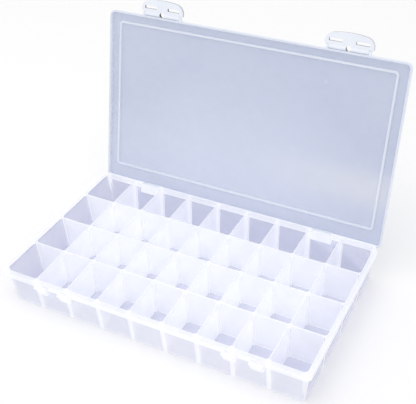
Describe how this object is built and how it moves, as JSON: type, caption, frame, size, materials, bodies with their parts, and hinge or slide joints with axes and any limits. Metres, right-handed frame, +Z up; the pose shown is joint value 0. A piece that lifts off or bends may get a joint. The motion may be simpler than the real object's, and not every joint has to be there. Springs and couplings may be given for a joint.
{
  "type": "compartment organizer box",
  "caption": "Low rectangular clear plastic organizer box with rows of compartments, lift-out dividers, a hinged lid and flip latches, for beads and sewing or art supplies.",
  "frame": {"origin": "middle of the tray's underside, on the surface that the box stands on", "axes": "+Z up, +X to the right along the hinge side, +Y from the latches to the lid hinges"},
  "size_m": [0.275, 0.2083, 0.2],
  "materials": {
    "clear_plastic": "translucent milky polypropylene, satin",
    "divider_plastic": "translucent milky polypropylene, satin",
    "white_plastic": "white polypropylene, satin"
  },
  "bodies": {
    "tray": {"base_tray": "clear_plastic"},
    "lid": {"hinged_lid": "clear_plastic"},
    "latch_left": {"left_latch": "white_plastic"},
    "latch_right": {"right_latch": "white_plastic"},
    "divider_row1_slot1_body": {"divider_row1_slot1": "divider_plastic"},
    "divider_row1_slot2_body": {"divider_row1_slot2": "divider_plastic"},
    "divider_row1_slot3_body": {"divider_row1_slot3": "divider_plastic"},
    "divider_row1_slot4_body": {"divider_row1_slot4": "divider_plastic"},
    "divider_row1_slot5_body": {"divider_row1_slot5": "divider_plastic"},
    "divider_row1_slot6_body": {"divider_row1_slot6": "divider_plastic"},
    "divider_row1_slot7_body": {"divider_row1_slot7": "divider_plastic"},
    "divider_row1_slot8_body": {"divider_row1_slot8": "divider_plastic"},
    "divider_row2_slot1_body": {"divider_row2_slot1": "divider_plastic"},
    "divider_row2_slot2_body": {"divider_row2_slot2": "divider_plastic"},
    "divider_row2_slot3_body": {"divider_row2_slot3": "divider_plastic"},
    "divider_row2_slot4_body": {"divider_row2_slot4": "divider_plastic"},
    "divider_row2_slot5_body": {"divider_row2_slot5": "divider_plastic"},
    "divider_row2_slot6_body": {"divider_row2_slot6": "divider_plastic"},
    "divider_row2_slot7_body": {"divider_row2_slot7": "divider_plastic"},
    "divider_row2_slot8_body": {"divider_row2_slot8": "divider_plastic"},
    "divider_row3_slot1_body": {"divider_row3_slot1": "divider_plastic"},
    "divider_row3_slot2_body": {"divider_row3_slot2": "divider_plastic"},
    "divider_row3_slot3_body": {"divider_row3_slot3": "divider_plastic"},
    "divider_row3_slot4_body": {"divider_row3_slot4": "divider_plastic"},
    "divider_row3_slot5_body": {"divider_row3_slot5": "divider_plastic"},
    "divider_row3_slot6_body": {"divider_row3_slot6": "divider_plastic"},
    "divider_row3_slot7_body": {"divider_row3_slot7": "divider_plastic"},
    "divider_row3_slot8_body": {"divider_row3_slot8": "divider_plastic"},
    "divider_row4_slot1_body": {"divider_row4_slot1": "divider_plastic"},
    "divider_row4_slot2_body": {"divider_row4_slot2": "divider_plastic"},
    "divider_row4_slot3_body": {"divider_row4_slot3": "divider_plastic"},
    "divider_row4_slot4_body": {"divider_row4_slot4": "divider_plastic"},
    "divider_row4_slot5_body": {"divider_row4_slot5": "divider_plastic"},
    "divider_row4_slot6_body": {"divider_row4_slot6": "divider_plastic"},
    "divider_row4_slot7_body": {"divider_row4_slot7": "divider_plastic"},
    "divider_row4_slot8_body": {"divider_row4_slot8": "divider_plastic"}
  },
  "joints": [
    {"name": "lid_hinge", "type": "hinge", "parent": "tray", "child": "lid", "pos_m": [0, 0.07935, 0.0312], "axis": [-1, 0, 0], "range_deg": [-103, 0]},
    {"name": "left_latch_hinge", "type": "hinge", "parent": "lid", "child": "latch_left", "pos_m": [-0.085, 0.12064, 0.18716], "axis": [-1, 0, 0], "range_deg": [-90, 0]},
    {"name": "right_latch_hinge", "type": "hinge", "parent": "lid", "child": "latch_right", "pos_m": [0.085, 0.12064, 0.18716], "axis": [-1, 0, 0], "range_deg": [-90, 0]},
    {"name": "divider_row1_slot1_lift", "type": "slide", "parent": "tray", "child": "divider_row1_slot1_body", "axis": [0, 0, 1], "range_m": [0, 0.036]},
    {"name": "divider_row1_slot2_lift", "type": "slide", "parent": "tray", "child": "divider_row1_slot2_body", "axis": [0, 0, 1], "range_m": [0, 0.036]},
    {"name": "divider_row1_slot3_lift", "type": "slide", "parent": "tray", "child": "divider_row1_slot3_body", "axis": [0, 0, 1], "range_m": [0, 0.036]},
    {"name": "divider_row1_slot4_lift", "type": "slide", "parent": "tray", "child": "divider_row1_slot4_body", "axis": [0, 0, 1], "range_m": [0, 0.036]},
    {"name": "divider_row1_slot5_lift", "type": "slide", "parent": "tray", "child": "divider_row1_slot5_body", "axis": [0, 0, 1], "range_m": [0, 0.036]},
    {"name": "divider_row1_slot6_lift", "type": "slide", "parent": "tray", "child": "divider_row1_slot6_body", "axis": [0, 0, 1], "range_m": [0, 0.036]},
    {"name": "divider_row1_slot7_lift", "type": "slide", "parent": "tray", "child": "divider_row1_slot7_body", "axis": [0, 0, 1], "range_m": [0, 0.036]},
    {"name": "divider_row1_slot8_lift", "type": "slide", "parent": "tray", "child": "divider_row1_slot8_body", "axis": [0, 0, 1], "range_m": [0, 0.036]},
    {"name": "divider_row2_slot1_lift", "type": "slide", "parent": "tray", "child": "divider_row2_slot1_body", "axis": [0, 0, 1], "range_m": [0, 0.036]},
    {"name": "divider_row2_slot2_lift", "type": "slide", "parent": "tray", "child": "divider_row2_slot2_body", "axis": [0, 0, 1], "range_m": [0, 0.036]},
    {"name": "divider_row2_slot3_lift", "type": "slide", "parent": "tray", "child": "divider_row2_slot3_body", "axis": [0, 0, 1], "range_m": [0, 0.036]},
    {"name": "divider_row2_slot4_lift", "type": "slide", "parent": "tray", "child": "divider_row2_slot4_body", "axis": [0, 0, 1], "range_m": [0, 0.036]},
    {"name": "divider_row2_slot5_lift", "type": "slide", "parent": "tray", "child": "divider_row2_slot5_body", "axis": [0, 0, 1], "range_m": [0, 0.036]},
    {"name": "divider_row2_slot6_lift", "type": "slide", "parent": "tray", "child": "divider_row2_slot6_body", "axis": [0, 0, 1], "range_m": [0, 0.036]},
    {"name": "divider_row2_slot7_lift", "type": "slide", "parent": "tray", "child": "divider_row2_slot7_body", "axis": [0, 0, 1], "range_m": [0, 0.036]},
    {"name": "divider_row2_slot8_lift", "type": "slide", "parent": "tray", "child": "divider_row2_slot8_body", "axis": [0, 0, 1], "range_m": [0, 0.036]},
    {"name": "divider_row3_slot1_lift", "type": "slide", "parent": "tray", "child": "divider_row3_slot1_body", "axis": [0, 0, 1], "range_m": [0, 0.036]},
    {"name": "divider_row3_slot2_lift", "type": "slide", "parent": "tray", "child": "divider_row3_slot2_body", "axis": [0, 0, 1], "range_m": [0, 0.036]},
    {"name": "divider_row3_slot3_lift", "type": "slide", "parent": "tray", "child": "divider_row3_slot3_body", "axis": [0, 0, 1], "range_m": [0, 0.036]},
    {"name": "divider_row3_slot4_lift", "type": "slide", "parent": "tray", "child": "divider_row3_slot4_body", "axis": [0, 0, 1], "range_m": [0, 0.036]},
    {"name": "divider_row3_slot5_lift", "type": "slide", "parent": "tray", "child": "divider_row3_slot5_body", "axis": [0, 0, 1], "range_m": [0, 0.036]},
    {"name": "divider_row3_slot6_lift", "type": "slide", "parent": "tray", "child": "divider_row3_slot6_body", "axis": [0, 0, 1], "range_m": [0, 0.036]},
    {"name": "divider_row3_slot7_lift", "type": "slide", "parent": "tray", "child": "divider_row3_slot7_body", "axis": [0, 0, 1], "range_m": [0, 0.036]},
    {"name": "divider_row3_slot8_lift", "type": "slide", "parent": "tray", "child": "divider_row3_slot8_body", "axis": [0, 0, 1], "range_m": [0, 0.036]},
    {"name": "divider_row4_slot1_lift", "type": "slide", "parent": "tray", "child": "divider_row4_slot1_body", "axis": [0, 0, 1], "range_m": [0, 0.036]},
    {"name": "divider_row4_slot2_lift", "type": "slide", "parent": "tray", "child": "divider_row4_slot2_body", "axis": [0, 0, 1], "range_m": [0, 0.036]},
    {"name": "divider_row4_slot3_lift", "type": "slide", "parent": "tray", "child": "divider_row4_slot3_body", "axis": [0, 0, 1], "range_m": [0, 0.036]},
    {"name": "divider_row4_slot4_lift", "type": "slide", "parent": "tray", "child": "divider_row4_slot4_body", "axis": [0, 0, 1], "range_m": [0, 0.036]},
    {"name": "divider_row4_slot5_lift", "type": "slide", "parent": "tray", "child": "divider_row4_slot5_body", "axis": [0, 0, 1], "range_m": [0, 0.036]},
    {"name": "divider_row4_slot6_lift", "type": "slide", "parent": "tray", "child": "divider_row4_slot6_body", "axis": [0, 0, 1], "range_m": [0, 0.036]},
    {"name": "divider_row4_slot7_lift", "type": "slide", "parent": "tray", "child": "divider_row4_slot7_body", "axis": [0, 0, 1], "range_m": [0, 0.036]},
    {"name": "divider_row4_slot8_lift", "type": "slide", "parent": "tray", "child": "divider_row4_slot8_body", "axis": [0, 0, 1], "range_m": [0, 0.036]}
  ]
}
